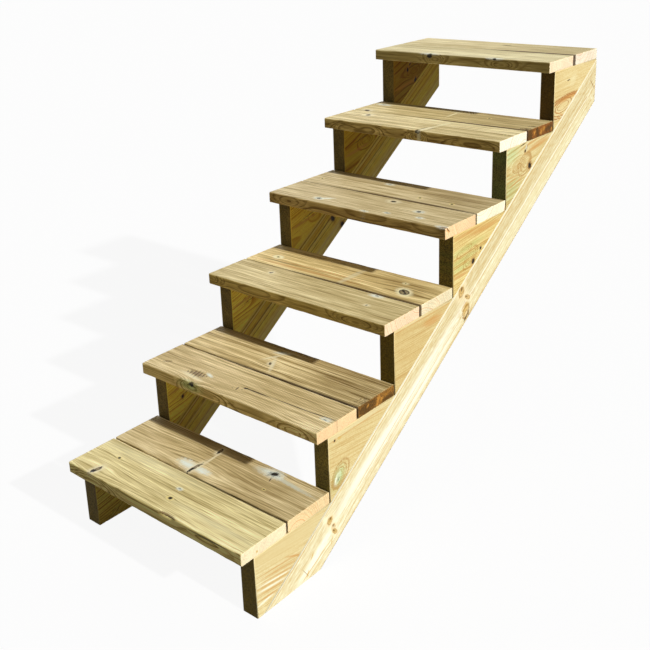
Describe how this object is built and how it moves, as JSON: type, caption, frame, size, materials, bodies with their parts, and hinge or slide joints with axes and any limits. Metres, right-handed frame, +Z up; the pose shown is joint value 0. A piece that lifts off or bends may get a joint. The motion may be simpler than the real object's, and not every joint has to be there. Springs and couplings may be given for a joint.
{
  "type": "open-riser garden steps",
  "caption": "Straight timber flight with open risers: plank treads on triangular step blocks along sloping side rails, cut level at the foot and plumb at the head.",
  "frame": {"origin": "middle of the top tread's back edge, in the plane of the plumb head cut", "axes": "+X across the flight to the right of a person climbing it, +Y up the flight and square to the face that it is fixed to, +Z up"},
  "size_m": [0.6, 1.599, 1.039],
  "materials": {
    "tread_boards": "pressure-treated sawn softwood, matt, pale straw with an olive cast",
    "step_blocks": "planed pressure-treated softwood, matt, warm yellow",
    "rails": "planed pressure-treated softwood, matt, pale cream yellow"
  },
  "bodies": {
    "root": {"tread_1_front_board": "tread_boards", "tread_1_rear_board": "tread_boards", "tread_2_front_board": "tread_boards", "tread_2_rear_board": "tread_boards", "tread_3_front_board": "tread_boards", "tread_3_rear_board": "tread_boards", "tread_4_front_board": "tread_boards", "tread_4_rear_board": "tread_boards", "tread_5_front_board": "tread_boards", "tread_5_rear_board": "tread_boards", "tread_6_front_board": "tread_boards", "tread_6_rear_board": "tread_boards", "left_block_1": "step_blocks", "left_block_2": "step_blocks", "left_block_3": "step_blocks", "left_block_4": "step_blocks", "left_block_5": "step_blocks", "left_block_6": "step_blocks", "right_block_1": "step_blocks", "right_block_2": "step_blocks", "right_block_3": "step_blocks", "right_block_4": "step_blocks", "right_block_5": "step_blocks", "right_block_6": "step_blocks", "left_rail": "rails", "right_rail": "rails"}
  },
  "joints": []
}
